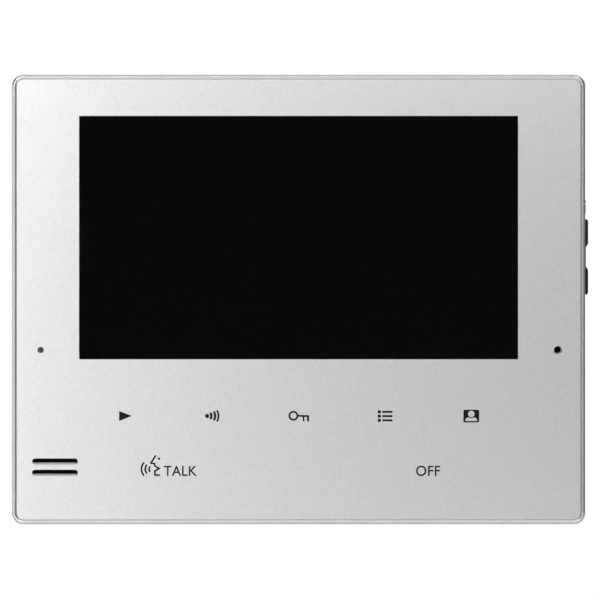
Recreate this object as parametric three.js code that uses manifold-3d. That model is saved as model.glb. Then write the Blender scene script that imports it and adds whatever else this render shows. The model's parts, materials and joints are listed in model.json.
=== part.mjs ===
// Video intercom monitor: a slim wall-hung indoor station with a 7-inch screen.
// Millimetres. +X is to the right and +Z up, both as seen from the front; the front faces -Y.
// The wall is the plane y = 0, and the origin is the centre of the wall bracket's back face.
import * as THREE from "three";
import { mergeVertices } from "three/addons/utils/BufferGeometryUtils.js";
import Module from "manifold-3d";

const wasm = await Module();
wasm.setup();

// ---------------------------------------------------------------- driving dimensions
const GAP = 0.3; // between pieces that touch on the real object
const PAST = 1; // how far a cutter runs past the face that it opens

const BODY_STEPS = 3; // fineness of the body's own corners
const SMALL_STEPS = 1; // fineness of small corners and round slot ends
const ROUND_SIDES = 16; // sides of a round bar or hole
const SMALL_SIDES = 10; // sides of a screw or a small hole

// The closed monitor.
const BODY = { width: 202, height: 158.4, radius: 4, wall: 1.8 };
const RIM = { width: 1.5, crest: -22.4, radius: 2.5 };
const PANEL = { front: -21.9, back: -21.1, clearance: 0.15 };
const FRAME = { wallFront: -20.8, wallBack: -19.2, split: -15.5 };
const CASING = { back: -0.4, backInner: -2.2, split: -15.2 };
const LIP = { reach: 1.5, thickness: 1.2, depth: 2 };

// The screen. A 7-inch 15:9 picture is 154.1 by 85.9 mm.
const SCREEN = { width: 154.7, height: 85.8, z: 21.8 };
const WINDOW = { clearance: 0.15, flange: 3, step: -20.6, back: -19.4 };
const GASKET = { front: -19.1, back: -18.5, margin: 0.7, width: 1.8 };
const LCD = { width: 165, height: 100, glassFront: -18.2, glassBack: -16.4 };
const TRAY = { front: -16.1, floor: -13.5, back: -12.9, wall: 0.6 };
const LIGHT_GUIDE = { front: -16, back: -13.8 };
const LCD_BRACKET = { front: -12.6, back: -11.8, halfWidth: 80, bottom: -27, top: 70, ear: 4.5 };
const LCD_SCREW = { x: 87, heights: [60, -6], boss: 2.5 };

// Face details.
const SLOT = { length: 16.1, height: 2.1, x: -85.85, heights: [-57.18, -61.13] };
const MICROPHONE = { x: 91.4, z: -17.9, hole: 3.2, frameHole: 4, boot: 7.6, capsule: 5 };
const INDICATOR = { x: -90.9, z: -17.8, pipe: 1.9, hole: 2.2, frameHole: 2.6, flange: 4 };

// Boards.
const TOUCH_BOARD = { front: -18.9, back: -17.7, left: -66, right: 70, bottom: -68.5, top: -31 };
const MAIN_BOARD = { front: -11.5, back: -9.9, halfWidth: 76, bottom: -44, top: 64 };
const BOARD_SCREW = { x: 70, heights: [58, -20], hole: 3.2 };

// Speaker, behind the two slots.
const SPEAKER = { x: -84, z: -59.15, radius: 13, ear: 15.8, earRadius: 2.6, boss: 2.2 };

// Volume rocker in the right-hand wall, on a pin along Y.
const ROCKER = { z: 15, length: 26.6, y: -8.6, depth: 5.2, pads: 1.15, bridge: 0.35 };
const ROCKER_PIVOT = { x: 97.2, pin: 0.7, bore: 0.85, boss: 1.9 };
const ROCKER_FLANGE = { inner: 97, outer: 98.2, overlap: 1 };
const ROCKER_RIBS = { front: -13.5, back: -3.7, thickness: 1, halfHeight: 2.2, reach: 4 };
const DOME = { offset: 9, base: 93.7, tip: 96.3, baseRadius: 1.9, tipRadius: 1.1 };
const KEY_BOARD = { inner: 92.4, outer: 93.4, front: -12.6, back: -4.6, halfHeight: 13 };

// Casing screws, driven from behind.
const CASING_SCREWS = [[92, 72.6], [-92, 72.6], [58, -72.6], [-58, -72.6]];
const CASING_POST = { radius: 4, end: -9, seat: -5, recess: 3.3, bore: 1.7 };
const FRAME_BOSS = { radius: 3, start: -9.3, bore: 1.6, boreEnd: -17 };

// Wall bracket, and the pocket for it in the back of the casing.
const BRACKET = { width: 96, height: 104, radius: 3, thickness: 1.2 };
const HOOK = { x: 42, heights: [34, -36], width: 10, leg: 1.2, reach: 6.5, tongue: 6 };
const LIFT = 8; // how far the monitor rises to come off the hooks
const POCKET = { width: 98, top: 52.5, bottom: -61, radius: 3, floor: -3.5, inner: -5 };
const HOOK_SLOT = { width: 11, play: 0.4 };
const CABLE_WINDOW = { width: 60, height: 28, z: -20, radius: 2 };
const WALL_SLOT = { length: 12, width: 5, pitch: 83.5 };
const SIDE_SLOT = { length: 10, x: 30, z: 20 };
const BEAD = { x: 20, z: 21, length: 42, width: 4, height: 0.6 };

// Push-in terminals on the main board, reached through the bracket's cable window.
const TERMINAL = { width: 17, height: 12.8, z: -20, back: -4, front: -9.6, pitch: 7.5 };
const WIRE_HOLE = { radius: 1.3, drop: 3, end: -8.2 };
const RELEASE = { width: 4, height: 3, rise: 3, proud: 0.7, travel: 0.8, end: -7.1, play: 0.3 };

const LABEL = { width: 36, height: 26, x: -74, z: -8, recess: -1.1, back: -0.6, front: -0.8 };
const VENT = { length: 28, height: 1.8, x: 74, z: 36, pitch: 3.8, count: 7 };
const SIDE_MARK = { z: 32.7, length: 4.6, width: 2.4, proud: 0.3, notch: 0.6 };

// ---------------------------------------------------------------- solids and cuts
// A three.js geometry as a solid that can be joined and cut.
function solid(geometry) {
  const bare = new THREE.BufferGeometry();
  const flat = geometry.index ? geometry.toNonIndexed() : geometry;
  bare.setAttribute("position", flat.getAttribute("position"));
  const merged = mergeVertices(bare, 1e-4);
  const corners = merged.index.array;
  const kept = [];
  for (let i = 0; i < corners.length; i += 3) {
    const [a, b, c] = [corners[i], corners[i + 1], corners[i + 2]];
    if (a !== b && b !== c && c !== a) kept.push(a, b, c);
  }
  return new wasm.Manifold(new wasm.Mesh({
    numProp: 3,
    vertProperties: merged.attributes.position.array,
    triVerts: new Uint32Array(kept),
  }));
}

function geometryOf(shape) {
  const mesh = shape.getMesh();
  const geometry = new THREE.BufferGeometry();
  geometry.setAttribute("position", new THREE.BufferAttribute(mesh.vertProperties, mesh.numProp));
  geometry.setIndex(new THREE.BufferAttribute(mesh.triVerts, 1));
  const split = geometry.toNonIndexed();
  split.computeVertexNormals();
  return split;
}

function joined(solids) {
  return solids.reduce((whole, next) => whole.add(next));
}

function cut(whole, cutters) {
  return cutters.reduce((left, cutter) => left.subtract(cutter), whole);
}

// ---------------------------------------------------------------- outlines and simple solids
// An outline in the X-Z plane with arcs in its four corners.
function roundedOutline(width, height, radius, x = 0, z = 0) {
  const right = x + width / 2 - radius;
  const left = x - width / 2 + radius;
  const top = z + height / 2 - radius;
  const bottom = z - height / 2 + radius;
  const outline = new THREE.Shape();
  outline.absarc(right, top, radius, 0, Math.PI / 2);
  outline.absarc(left, top, radius, Math.PI / 2, Math.PI);
  outline.absarc(left, bottom, radius, Math.PI, 1.5 * Math.PI);
  outline.absarc(right, bottom, radius, 1.5 * Math.PI, 2 * Math.PI);
  return outline;
}

// An outline in the X-Z plane made solid from y = back to y = front.
function slab(outline, back, front, steps = SMALL_STEPS) {
  const options = { depth: back - front, bevelEnabled: false, curveSegments: steps };
  const geometry = new THREE.ExtrudeGeometry(outline, options);
  return solid(geometry.rotateX(Math.PI / 2).translate(0, back, 0));
}

function roundedSlab(width, height, radius, x, z, back, front, steps = SMALL_STEPS) {
  return slab(roundedOutline(width, height, radius, x, z), back, front, steps);
}

// A slab in the middle of the body, with the body's finer corners.
function bodySlab(width, height, radius, back, front) {
  return roundedSlab(width, height, radius, 0, 0, back, front, BODY_STEPS);
}

// A slab with fully round ends, longer in X or longer in Z.
function slotSlab(width, height, x, z, back, front) {
  const radius = Math.min(width, height) / 2 - 0.001;
  return roundedSlab(width, height, radius, x, z, back, front);
}

// A box between two corners.
function block(left, right, back, front, bottom, top) {
  const geometry = new THREE.BoxGeometry(right - left, back - front, top - bottom);
  return solid(geometry.translate((left + right) / 2, (back + front) / 2, (bottom + top) / 2));
}

// A round bar along Y.
function round(radius, x, z, back, front, sides = ROUND_SIDES) {
  const geometry = new THREE.CylinderGeometry(radius, radius, back - front, sides);
  return solid(geometry.translate(x, (back + front) / 2, z));
}

// A solid turned about an axis along Y from (radius, y) points that close on themselves.
function turned(profile, x, z, sides = ROUND_SIDES) {
  const points = profile.map(([radius, y]) => new THREE.Vector2(radius, y));
  if (THREE.ShapeUtils.area(points) < 0) points.reverse();
  points.push(points[0].clone());
  return solid(new THREE.LatheGeometry(points, sides).translate(x, 0, z));
}

// A ribbon cable: a line of (y, z) points with a thickness, made solid from x = left to x = right.
function ribbon(line, thickness, left, right) {
  const curve = new THREE.SplineCurve(line.map(([y, z]) => new THREE.Vector2(y, z)));
  const steps = 6;
  const sides = [[], []];
  for (let i = 0; i <= steps; i += 1) {
    const point = curve.getPoint(i / steps);
    const along = curve.getTangent(i / steps);
    const across = new THREE.Vector2(-along.y, along.x).multiplyScalar(thickness / 2);
    sides[0].push(point.clone().add(across));
    sides[1].unshift(point.clone().sub(across));
  }
  const outline = new THREE.Shape([...sides[0], ...sides[1]]);
  const options = { depth: right - left, bevelEnabled: false };
  const turn = new THREE.Matrix4().makeBasis(
    new THREE.Vector3(0, 1, 0),
    new THREE.Vector3(0, 0, 1),
    new THREE.Vector3(1, 0, 0),
  );
  const geometry = new THREE.ExtrudeGeometry(outline, options).applyMatrix4(turn);
  return solid(geometry.translate(left, 0, 0));
}

// A wire along a smooth line of points.
function wire(points, radius) {
  const curve = new THREE.CatmullRomCurve3(points.map((point) => new THREE.Vector3(...point)));
  const section = new THREE.Shape();
  section.absarc(0, 0, radius, 0, 2 * Math.PI);
  const options = { steps: 8, curveSegments: 3, bevelEnabled: false, extrudePath: curve };
  return solid(new THREE.ExtrudeGeometry(section, options));
}

// A screw along Y: its head's back, the seat under the head, and the end of its shank.
function screw(x, z, headBack, seat, end, headRadius, shankRadius) {
  const profile = [
    [0, headBack],
    [headRadius * 0.85, headBack],
    [headRadius, seat],
    [shankRadius, seat],
    [shankRadius, end],
    [0, end],
  ];
  return turned(profile, x, z, SMALL_SIDES);
}

// ---------------------------------------------------------------- finishes
const finish = (color, roughness, metalness) => ({ color, roughness, metalness });
const FINISHES = {
  silverPaint: finish("#c9cacc", 0.42, 0.55),
  blackGloss: finish("#050506", 0.06, 0),
  casingBlack: finish("#1b1c1e", 0.6, 0),
  keyBlack: finish("#141517", 0.35, 0),
  smokedLens: finish("#3a3b3e", 0.2, 0),
  galvanised: finish("#b4b8ba", 0.4, 0.9),
  tinned: finish("#c4c6c8", 0.3, 0.95),
  screwZinc: finish("#a9acb0", 0.35, 0.95),
  solderMask: finish("#0f4a2c", 0.35, 0),
  chipBlack: finish("#161618", 0.55, 0),
  ferrite: finish("#2c2d31", 0.7, 0),
  foamBlack: finish("#202022", 0.95, 0),
  rubberBlack: finish("#1a1a1b", 0.8, 0),
  siliconeGrey: finish("#8d9094", 0.7, 0),
  glassDark: finish("#0b0c10", 0.1, 0),
  acrylicWhite: finish("#eef1f2", 0.3, 0),
  paperCone: finish("#2a2725", 0.9, 0),
  polyimide: finish("#a5671c", 0.4, 0),
  ledClear: finish("#e9e6d6", 0.25, 0),
  wireSheath: finish("#222326", 0.5, 0),
  terminalGrey: finish("#8f959a", 0.5, 0),
  releaseOrange: finish("#d9691e", 0.45, 0),
  labelSilver: finish("#cfd1d2", 0.5, 0),
  aluminiumCan: finish("#b9bcc0", 0.3, 0.9),
};

const monitor = new THREE.Group();
const intercom = new THREE.Group();
intercom.add(monitor);

function place(name, shape, look, group = monitor) {
  const mesh = new THREE.Mesh(geometryOf(shape), new THREE.MeshStandardMaterial(look));
  mesh.name = name;
  group.add(mesh);
}

// ---------------------------------------------------------------- wall bracket
// One steel plate. Each hook is a tongue lanced out of the plate, which leaves its hole above it.
function bracketHook(x, z) {
  const left = x - HOOK.width / 2;
  const right = x + HOOK.width / 2;
  const tongueBack = -HOOK.reach + HOOK.leg;
  return joined([
    block(left, right, -HOOK.leg / 2, -HOOK.reach, z, z + HOOK.leg),
    block(left, right, tongueBack, -HOOK.reach, z, z + HOOK.leg + HOOK.tongue),
  ]);
}

function bracketHookHole(x, z) {
  const bottom = z + HOOK.leg;
  const top = bottom + HOOK.reach - HOOK.leg + HOOK.tongue;
  return block(x - HOOK.width / 2, x + HOOK.width / 2, PAST, -BRACKET.thickness - PAST, bottom, top);
}

function hookPlaces() {
  return HOOK.heights.flatMap((z) => [[HOOK.x, z], [-HOOK.x, z]]);
}

function wallBracket() {
  const back = PAST;
  const front = -BRACKET.thickness - PAST;
  const plate = roundedSlab(BRACKET.width, BRACKET.height, BRACKET.radius, 0, 0, 0, -BRACKET.thickness);
  const beads = [BEAD.x, -BEAD.x].map((x) =>
    slotSlab(BEAD.width, BEAD.length, x, BEAD.z, -0.5, -BRACKET.thickness - BEAD.height));
  const grooves = [BEAD.x, -BEAD.x].map((x) =>
    slotSlab(BEAD.width - 1.4, BEAD.length - 1.4, x, BEAD.z, back, -BEAD.height));
  const window = roundedSlab(
    CABLE_WINDOW.width, CABLE_WINDOW.height, CABLE_WINDOW.radius, 0, CABLE_WINDOW.z, back, front);
  const slots = [
    slotSlab(WALL_SLOT.length, WALL_SLOT.width, 0, WALL_SLOT.pitch / 2, back, front),
    slotSlab(WALL_SLOT.width, WALL_SLOT.length, 0, -WALL_SLOT.pitch / 2, back, front),
    slotSlab(WALL_SLOT.width, SIDE_SLOT.length, SIDE_SLOT.x, SIDE_SLOT.z, back, front),
    slotSlab(WALL_SLOT.width, SIDE_SLOT.length, -SIDE_SLOT.x, SIDE_SLOT.z, back, front),
  ];
  const holes = hookPlaces().map(([x, z]) => bracketHookHole(x, z));
  const hooks = hookPlaces().map(([x, z]) => bracketHook(x, z));
  const pressed = cut(joined([plate, ...beads]), [...grooves, window, ...slots, ...holes]);
  return joined([pressed, ...hooks]);
}

// ---------------------------------------------------------------- rear casing
function casingShell() {
  const { width, height, radius, wall } = BODY;
  const outer = bodySlab(width, height, radius, CASING.back, CASING.split);
  const inner = bodySlab(
    width - 2 * wall, height - 2 * wall, radius - wall + 0.2, CASING.backInner, CASING.split - PAST);
  return outer.subtract(inner);
}

// The tongue round the casing's mouth that centres the front frame on it.
function casingLip() {
  const outerWidth = BODY.width - 2 * BODY.wall;
  const outerHeight = BODY.height - 2 * BODY.wall;
  const inset = 2 * (LIP.thickness + GAP);
  const root = roundedSlab(
    outerWidth + 0.6, outerHeight + 0.6, 2.6, 0, 0, CASING.split + LIP.depth, CASING.split);
  const tongue = roundedSlab(
    outerWidth - 2 * GAP, outerHeight - 2 * GAP, 2.1, 0, 0, CASING.split + 0.1, CASING.split - LIP.reach);
  const hollow = roundedSlab(
    outerWidth - inset, outerHeight - inset, 1.2, 0, 0,
    CASING.split + LIP.depth + PAST, CASING.split - LIP.reach - PAST);
  return joined([root, tongue]).subtract(hollow);
}

function pocketSlab(margin, back, front) {
  const height = POCKET.top - POCKET.bottom;
  const z = (POCKET.top + POCKET.bottom) / 2;
  const radius = POCKET.radius + margin / 2;
  return roundedSlab(POCKET.width + 2 * margin, height + 2 * margin, radius, 0, z, back, front);
}

// Each slot lets a hook in with the monitor raised by LIFT, and its top edge then comes down on the hook.
function casingHookSlot(x, z) {
  const top = z + HOOK.leg + GAP;
  const bottom = z - LIFT - HOOK_SLOT.play;
  const half = HOOK_SLOT.width / 2;
  return block(x - half, x + half, POCKET.floor + PAST, POCKET.inner - PAST, bottom, top);
}

function casingVents() {
  const places = [];
  for (const x of [VENT.x, -VENT.x]) {
    for (let i = 0; i < VENT.count; i += 1) places.push([x, VENT.z + i * VENT.pitch]);
  }
  const back = CASING.back + PAST;
  const front = CASING.backInner - PAST;
  return places.map(([x, z]) => slotSlab(VENT.length, VENT.height, x, z, back, front));
}

// Two ribs inside the right-hand wall hold the rocker's pin, and a rib on the back holds its key board.
function rockerSupports() {
  const wallInner = BODY.width / 2 - BODY.wall;
  const left = wallInner - ROCKER_RIBS.reach;
  const bottom = ROCKER.z - ROCKER_RIBS.halfHeight;
  const top = ROCKER.z + ROCKER_RIBS.halfHeight;
  const { front, back, thickness } = ROCKER_RIBS;
  return [
    block(left, wallInner + 0.5, front + thickness, front, bottom, top),
    block(left, wallInner + 0.5, back, back - thickness, bottom, top),
    block(KEY_BOARD.inner - 0.6, KEY_BOARD.outer + 0.6, CASING.backInner + 0.5, KEY_BOARD.back + GAP,
      ROCKER.z - 9, ROCKER.z + 9),
  ];
}

function rockerSlotCut() {
  const half = ROCKER.length / 2 + GAP;
  const wallOuter = BODY.width / 2;
  return block(
    wallOuter - BODY.wall - 0.5, wallOuter + PAST,
    ROCKER.y + ROCKER.depth / 2 + GAP, ROCKER.y - ROCKER.depth / 2 - GAP,
    ROCKER.z - half, ROCKER.z + half);
}

// A short raised bar on the right-hand wall, with a nick across it.
function sideMark() {
  const wallOuter = BODY.width / 2;
  const half = SIDE_MARK.length / 2;
  const back = ROCKER.y + SIDE_MARK.width / 2;
  const front = ROCKER.y - SIDE_MARK.width / 2;
  const bar = block(wallOuter - 0.5, wallOuter + SIDE_MARK.proud, back, front,
    SIDE_MARK.z - half, SIDE_MARK.z + half);
  const nick = block(wallOuter, wallOuter + PAST, back + PAST, front - PAST,
    SIDE_MARK.z + 0.8, SIDE_MARK.z + 0.8 + SIDE_MARK.notch);
  return bar.subtract(nick);
}

function rearCasing() {
  const posts = CASING_SCREWS.map(([x, z]) =>
    round(CASING_POST.radius, x, z, CASING.backInner + 0.5, CASING_POST.end));
  const recesses = CASING_SCREWS.flatMap(([x, z]) => [
    round(CASING_POST.recess, x, z, CASING.back + PAST, CASING_POST.seat),
    round(CASING_POST.bore, x, z, CASING_POST.seat + PAST, CASING_POST.end - PAST, SMALL_SIDES),
  ]);
  const terminals = roundedSlab(
    2 * TERMINAL.width + 4 * GAP + 1, TERMINAL.height + 1.6, 1, 0, TERMINAL.z,
    POCKET.floor + PAST, POCKET.inner - PAST);
  const label = roundedSlab(LABEL.width + 0.8, LABEL.height + 0.8, 1, LABEL.x, LABEL.z,
    CASING.back + PAST, LABEL.recess);
  const pinHole = round(ROCKER_PIVOT.bore, ROCKER_PIVOT.x, ROCKER.z,
    ROCKER_RIBS.back + PAST, ROCKER_RIBS.front - PAST, SMALL_SIDES);
  const built = joined([
    casingShell(), casingLip(), pocketSlab(BODY.wall, CASING.back, POCKET.inner),
    ...posts, ...rockerSupports(), sideMark(),
  ]);
  return cut(built, [
    pocketSlab(0, CASING.back + PAST, POCKET.floor), terminals, label, pinHole, rockerSlotCut(),
    ...recesses, ...casingVents(), ...hookPlaces().map(([x, z]) => casingHookSlot(x, z)),
  ]);
}

// ---------------------------------------------------------------- front frame, panel and window
function lcdScrewPlaces() {
  return LCD_SCREW.heights.flatMap((z) => [[LCD_SCREW.x, z], [-LCD_SCREW.x, z]]);
}

function speakerEars() {
  const offset = SPEAKER.ear * Math.SQRT1_2;
  return [[SPEAKER.x + offset, SPEAKER.z + offset], [SPEAKER.x - offset, SPEAKER.z - offset]];
}

function frontFrame() {
  const { width, height, radius, wall } = BODY;
  const outer = bodySlab(width, height, radius, FRAME.split, RIM.crest);
  const recess = bodySlab(width - 2 * RIM.width, height - 2 * RIM.width, RIM.radius,
    FRAME.wallFront, RIM.crest - PAST);
  const cavity = bodySlab(width - 2 * wall, height - 2 * wall, radius - wall + 0.2,
    FRAME.split + PAST, FRAME.wallBack);
  const through = [FRAME.wallBack + PAST, FRAME.wallFront - PAST];
  const flange = 2 * (WINDOW.flange + GAP);
  const openings = [
    roundedSlab(SCREEN.width + flange, SCREEN.height + flange, 1, 0, SCREEN.z, ...through),
    roundedSlab(SLOT.length + 2.4, 9, 2, SLOT.x, SPEAKER.z, ...through),
    round(MICROPHONE.frameHole / 2, MICROPHONE.x, MICROPHONE.z, ...through),
    round(INDICATOR.frameHole / 2, INDICATOR.x, INDICATOR.z, ...through, SMALL_SIDES),
  ];
  const bosses = [
    ...CASING_SCREWS.map(([x, z]) => round(FRAME_BOSS.radius, x, z, FRAME_BOSS.start, FRAME.wallBack - 0.5)),
    ...lcdScrewPlaces().map(([x, z]) =>
      round(LCD_SCREW.boss, x, z, LCD_BRACKET.front - GAP, FRAME.wallBack - 0.5)),
    ...speakerEars().map(([x, z]) => round(SPEAKER.boss, x, z, -18.1, FRAME.wallBack - 0.5, SMALL_SIDES)),
  ];
  const bores = [
    ...CASING_SCREWS.map(([x, z]) =>
      round(FRAME_BOSS.bore, x, z, FRAME_BOSS.start + PAST, FRAME_BOSS.boreEnd, SMALL_SIDES)),
    ...lcdScrewPlaces().map(([x, z]) => round(1.4, x, z, LCD_BRACKET.front + PAST, -17, SMALL_SIDES)),
    ...speakerEars().map(([x, z]) => round(1.05, x, z, -17, -19, SMALL_SIDES)),
  ];
  return cut(joined([cut(outer, [recess, cavity, ...openings]), ...bosses]), bores);
}

function facePanel() {
  const inset = 2 * (RIM.width + PANEL.clearance);
  const sheet = bodySlab(BODY.width - inset, BODY.height - inset, RIM.radius - PANEL.clearance,
    PANEL.back, PANEL.front);
  const through = [PANEL.back + PAST, PANEL.front - PAST];
  return cut(sheet, [
    block(-SCREEN.width / 2, SCREEN.width / 2, ...through,
      SCREEN.z - SCREEN.height / 2, SCREEN.z + SCREEN.height / 2),
    ...SLOT.heights.map((z) => slotSlab(SLOT.length, SLOT.height, SLOT.x, z, ...through)),
    round(MICROPHONE.hole / 2, MICROPHONE.x, MICROPHONE.z, ...through),
    round(INDICATOR.hole / 2, INDICATOR.x, INDICATOR.z, ...through, SMALL_SIDES),
  ]);
}

function displayWindow() {
  const width = SCREEN.width / 2 - WINDOW.clearance;
  const height = SCREEN.height / 2 - WINDOW.clearance;
  const { z } = SCREEN;
  const { flange } = WINDOW;
  return joined([
    block(-width, width, WINDOW.step + 0.2, PANEL.front, z - height, z + height),
    block(-width - flange, width + flange, WINDOW.back, WINDOW.step, z - height - flange,
      z + height + flange),
  ]);
}

// ---------------------------------------------------------------- screen module
function screenFrame(width, height, rim, back, front) {
  const outer = roundedSlab(width, height, 0.8, 0, SCREEN.z, back, front);
  const opening = roundedSlab(width - 2 * rim, height - 2 * rim, 0.5, 0, SCREEN.z, back + PAST, front - PAST);
  return outer.subtract(opening);
}

function lcdTray() {
  const outer = roundedSlab(LCD.width, LCD.height, 1, 0, SCREEN.z, TRAY.back, TRAY.front);
  const hollow = roundedSlab(LCD.width - 2 * TRAY.wall, LCD.height - 2 * TRAY.wall, 0.6, 0, SCREEN.z,
    TRAY.floor, TRAY.front - PAST);
  return outer.subtract(hollow);
}

function boardScrewPlaces() {
  return BOARD_SCREW.heights.flatMap((z) => [[BOARD_SCREW.x, z], [-BOARD_SCREW.x, z]]);
}

function boardScrewHoles(back, front) {
  return boardScrewPlaces().map(([x, z]) =>
    round(BOARD_SCREW.hole / 2, x, z, back + PAST, front - PAST, SMALL_SIDES));
}

function lcdBracket() {
  const { front, back, halfWidth, bottom, top, ear } = LCD_BRACKET;
  const middle = (bottom + top) / 2;
  const plate = roundedSlab(2 * halfWidth, top - bottom, 2, 0, middle, back, front);
  const ears = lcdScrewPlaces().map(([x, z]) => round(ear, x, z, back, front));
  const links = lcdScrewPlaces().map(([x, z]) =>
    block(Math.min(x, x * 0.88), Math.max(x, x * 0.88), back, front, z - ear, z + ear));
  const opening = roundedSlab(2 * halfWidth - 44, top - bottom - 44, 4, 0, middle, back + PAST, front - PAST);
  return cut(joined([plate, ...ears, ...links]), [
    opening,
    ...lcdScrewPlaces().map(([x, z]) => round(1.6, x, z, back + PAST, front - PAST, SMALL_SIDES)),
    ...boardScrewHoles(back, front),
  ]);
}

// ---------------------------------------------------------------- boards and what is on them
function mainBoard() {
  const { front, back, halfWidth, bottom, top } = MAIN_BOARD;
  const sheet = roundedSlab(2 * halfWidth, top - bottom, 1.5, 0, (bottom + top) / 2, back, front);
  return cut(sheet, boardScrewHoles(back, front));
}

function touchBoard() {
  const { front, back, left, right, bottom, top } = TOUCH_BOARD;
  return roundedSlab(right - left, top - bottom, 1.5, (left + right) / 2, (bottom + top) / 2, back, front);
}

// A block on the main board's back, by its centre and how tall it stands.
function onBoard(x, z, width, height, tall) {
  const back = MAIN_BOARD.back + GAP + tall;
  const front = MAIN_BOARD.back + GAP;
  return block(x - width / 2, x + width / 2, back, front, z - height / 2, z + height / 2);
}

function canOnBoard(x, z, radius, tall) {
  return round(radius, x, z, MAIN_BOARD.back + GAP + tall, MAIN_BOARD.back + GAP);
}

function polePlaces(x) {
  return [x - TERMINAL.pitch / 2, x + TERMINAL.pitch / 2];
}

function terminal(x) {
  const { width, height, z, back, front } = TERMINAL;
  const housing = block(x - width / 2, x + width / 2, back, front, z - height / 2, z + height / 2);
  const wires = polePlaces(x).map((pole) =>
    round(WIRE_HOLE.radius, pole, z - WIRE_HOLE.drop, back + PAST, WIRE_HOLE.end, SMALL_SIDES));
  const halfWidth = RELEASE.width / 2 + RELEASE.play;
  const halfHeight = RELEASE.height / 2 + RELEASE.play;
  const wells = polePlaces(x).map((pole) =>
    block(pole - halfWidth, pole + halfWidth, back + PAST, RELEASE.end - RELEASE.travel - RELEASE.play,
      z + RELEASE.rise - halfHeight, z + RELEASE.rise + halfHeight));
  return cut(housing, [...wires, ...wells]);
}

function releaseButton(pole) {
  const z = TERMINAL.z + RELEASE.rise;
  return block(pole - RELEASE.width / 2, pole + RELEASE.width / 2, TERMINAL.back + RELEASE.proud, RELEASE.end,
    z - RELEASE.height / 2, z + RELEASE.height / 2);
}

// ---------------------------------------------------------------- speaker
function speakerBasket() {
  const ears = speakerEars().map(([x, z]) => round(SPEAKER.earRadius, x, z, -16.8, -17.8, SMALL_SIDES));
  const body = turned([
    [0, -13], [7.6, -13], [10.6, -16.2], [SPEAKER.radius, -16.8], [SPEAKER.radius, -17.8],
    [10.9, -17.8], [10.9, -17], [7, -13.8], [0, -13.8],
  ], SPEAKER.x, SPEAKER.z);
  const inward = 0.86; // how far out along its ear the round link to the basket stands
  const bridges = speakerEars().map(([x, z]) => round(SPEAKER.earRadius,
    SPEAKER.x + (x - SPEAKER.x) * inward, SPEAKER.z + (z - SPEAKER.z) * inward, -16.8, -17.8, SMALL_SIDES));
  const holes = speakerEars().map(([x, z]) => round(1.1, x, z, -16, -18.5, SMALL_SIDES));
  const hollow = round(10.8, SPEAKER.x, SPEAKER.z, -17.1, -18.5);
  return cut(joined([body, ...ears, ...bridges]), [hollow, ...holes]);
}

function speakerCone() {
  return turned([
    [0, -16.2], [3, -15.4], [4, -15.2], [6.5, -15.9], [9, -17.5], [10.4, -17.6],
    [10.4, -17.9], [8.9, -17.9], [6.3, -16.3], [4, -15.6], [3, -15.8], [0, -16.6],
  ], SPEAKER.x, SPEAKER.z);
}

// ---------------------------------------------------------------- microphone and indicator
function microphoneBoot() {
  const outer = MICROPHONE.boot / 2;
  const nose = MICROPHONE.frameHole / 2 - GAP;
  const bore = 0.8;
  const cavity = MICROPHONE.capsule / 2 + GAP;
  return turned([
    [outer, -14.9], [outer, -18.9], [nose, -18.9], [nose, -20.5], [bore, -20.5], [bore, -17.9],
    [cavity, -17.9], [cavity, -14.9],
  ], MICROPHONE.x, MICROPHONE.z);
}

function indicatorPipe() {
  const radius = INDICATOR.pipe / 2;
  return turned([
    [0, -21.85], [radius, -21.85], [radius, -18.9], [INDICATOR.flange / 2, -18.9],
    [INDICATOR.flange / 2, -18.1], [radius, -18.1], [radius, -17.2], [0, -17.2],
  ], INDICATOR.x, INDICATOR.z, SMALL_SIDES);
}

// ---------------------------------------------------------------- volume rocker and its keys
// The outline seen from the front: two raised pads, the low bridge between them, and the inner face.
function rockerOutline() {
  const wall = BODY.width / 2;
  const half = ROCKER.length / 2;
  const pad = wall + ROCKER.pads;
  const bridge = wall + ROCKER.bridge;
  const inner = ROCKER_FLANGE.inner;
  const upper = [[bridge, 3.4], [pad, 4.5], [pad, half - 0.6], [pad - 0.4, half], [inner, half]];
  const lower = upper.map(([x, z]) => [x, -z]).reverse();
  return new THREE.Shape([...upper, ...lower].map(([x, z]) => new THREE.Vector2(x, ROCKER.z + z)));
}

function volumeRocker() {
  const back = ROCKER.y + ROCKER.depth / 2;
  const front = ROCKER.y - ROCKER.depth / 2;
  const { overlap, inner, outer } = ROCKER_FLANGE;
  const half = ROCKER.length / 2 + overlap;
  const flange = block(inner, outer, back + overlap, front - overlap, ROCKER.z - half, ROCKER.z + half);
  const boss = round(ROCKER_PIVOT.boss, ROCKER_PIVOT.x, ROCKER.z, back + overlap, front - overlap);
  const nubs = [DOME.offset, -DOME.offset].map((offset) =>
    block(DOME.tip + GAP, inner + 0.2, ROCKER.y + 1.2, ROCKER.y - 1.2,
      ROCKER.z + offset - 1.2, ROCKER.z + offset + 1.2));
  const bore = round(ROCKER_PIVOT.bore, ROCKER_PIVOT.x, ROCKER.z, back + 2 * overlap, front - 2 * overlap);
  return joined([slab(rockerOutline(), back, front), flange, boss, ...nubs]).subtract(bore);
}

function volumeDome(offset) {
  const length = DOME.tip - DOME.base;
  const geometry = new THREE.CylinderGeometry(DOME.tipRadius, DOME.baseRadius, length, 14);
  geometry.rotateZ(-Math.PI / 2);
  return solid(geometry.translate((DOME.tip + DOME.base) / 2, ROCKER.y, ROCKER.z + offset));
}

// ---------------------------------------------------------------- assembly
place("wall_bracket", wallBracket(), FINISHES.galvanised, intercom);

place("rear_casing", rearCasing(), FINISHES.casingBlack);
place("front_frame", frontFrame(), FINISHES.silverPaint);
place("face_panel", facePanel(), FINISHES.silverPaint);
place("display_window", displayWindow(), FINISHES.blackGloss);

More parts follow.
